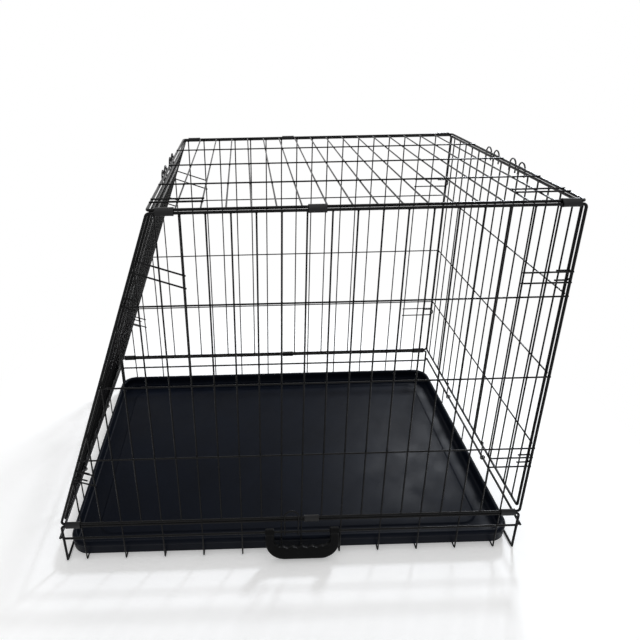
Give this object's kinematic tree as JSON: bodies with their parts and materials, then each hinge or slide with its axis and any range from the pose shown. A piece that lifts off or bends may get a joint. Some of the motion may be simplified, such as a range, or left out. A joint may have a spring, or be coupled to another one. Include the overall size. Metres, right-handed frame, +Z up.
{
  "type": "folding travel kennel",
  "caption": "Folding slant-front wire travel kennel with welded mesh panels, a slanted door end, a lift-out tray and a carry handle.",
  "frame": {"origin": "on the floor, at the middle of the box round the whole kennel", "axes": "+X along the length towards the upright rear end, the slanted door end towards -X; the carry handle on the -Y side; +Z up"},
  "size_m": [0.9316, 0.6466, 0.7475],
  "materials": {
    "coated_wire": "black coated steel wire, satin",
    "clip_steel": "black plated sheet steel, satin",
    "tray_plastic": "black moulded plastic with a fine grain",
    "handle_plastic": "black moulded plastic"
  },
  "bodies": {
    "base": {"base_far_wall": "coated_wire", "base_floor_grid": "coated_wire", "base_front_wall": "coated_wire", "base_near_wall": "coated_wire", "base_rear_wall": "coated_wire", "far_bottom_clip_front": "clip_steel", "far_bottom_clip_middle": "clip_steel", "far_bottom_clip_rear": "clip_steel", "near_bottom_clip_front": "clip_steel", "near_bottom_clip_middle": "clip_steel", "near_bottom_clip_rear": "clip_steel"},
    "far_side": {"far_side_panel": "coated_wire"},
    "near_side": {"near_side_panel": "coated_wire", "near_top_clip_front": "clip_steel", "near_top_clip_middle": "clip_steel", "near_top_clip_rear": "clip_steel"},
    "top": {"top_panel": "coated_wire", "far_top_clip_front": "clip_steel", "far_top_clip_middle": "clip_steel", "far_top_clip_rear": "clip_steel"},
    "rear_end": {"rear_end_panel": "coated_wire"},
    "front_end": {"front_end_panel": "coated_wire"},
    "door": {"front_door": "coated_wire"},
    "bolt_lower": {"door_bolt_lower": "clip_steel"},
    "bolt_upper": {"door_bolt_upper": "clip_steel"},
    "tray": {"tray": "tray_plastic"},
    "handle": {"carry_handle": "handle_plastic"},
    "ring": {"ring_latch": "coated_wire"}
  },
  "joints": [
    {"name": "far_side_fold", "type": "hinge", "parent": "base", "child": "far_side", "pos_m": [0, 0.31975, 0.0978], "axis": [-1, 0, 0], "range_deg": [0, 90]},
    {"name": "near_side_fold", "type": "hinge", "parent": "base", "child": "near_side", "pos_m": [0, -0.30025, 0.0978], "axis": [1, 0, 0], "range_deg": [0, 90]},
    {"name": "top_fold", "type": "hinge", "parent": "near_side", "child": "top", "pos_m": [0, -0.29505, 0.7336], "axis": [1, 0, 0], "range_deg": [0, 90]},
    {"name": "rear_end_fold", "type": "hinge", "parent": "base", "child": "rear_end", "pos_m": [0.46005, 0.00975, 0.064], "axis": [0, 1, 0], "range_deg": [-75, 0]},
    {"name": "front_end_fold", "type": "hinge", "parent": "base", "child": "front_end", "pos_m": [-0.46005, 0.00975, 0.064], "axis": [0, -1, 0], "range_deg": [-67, 0]},
    {"name": "door_swing", "type": "hinge", "parent": "front_end", "child": "door", "pos_m": [-0.46141, 0.227, 0.06449], "axis": [-0.3361, 0, -0.9418], "range_deg": [0, 100]},
    {"name": "bolt_lower_slide", "type": "slide", "parent": "door", "child": "bolt_lower", "axis": [0, -1, 0], "range_m": [0, 0.025]},
    {"name": "bolt_upper_slide", "type": "slide", "parent": "door", "child": "bolt_upper", "axis": [0, -1, 0], "range_m": [0, 0.025]},
    {"name": "tray_lift", "type": "slide", "parent": "base", "child": "tray", "axis": [0, 0, 1], "range_m": [0, 0.03]},
    {"name": "handle_swing", "type": "hinge", "parent": "base", "child": "handle", "pos_m": [0.02173, -0.30025, 0.06], "axis": [1, 0, 0], "range_deg": [-120, 0]},
    {"name": "ring_swing", "type": "hinge", "parent": "base", "child": "ring", "pos_m": [0, -0.30025, 0.0978], "axis": [-1, 0, 0], "range_deg": [0, 60]}
  ]
}
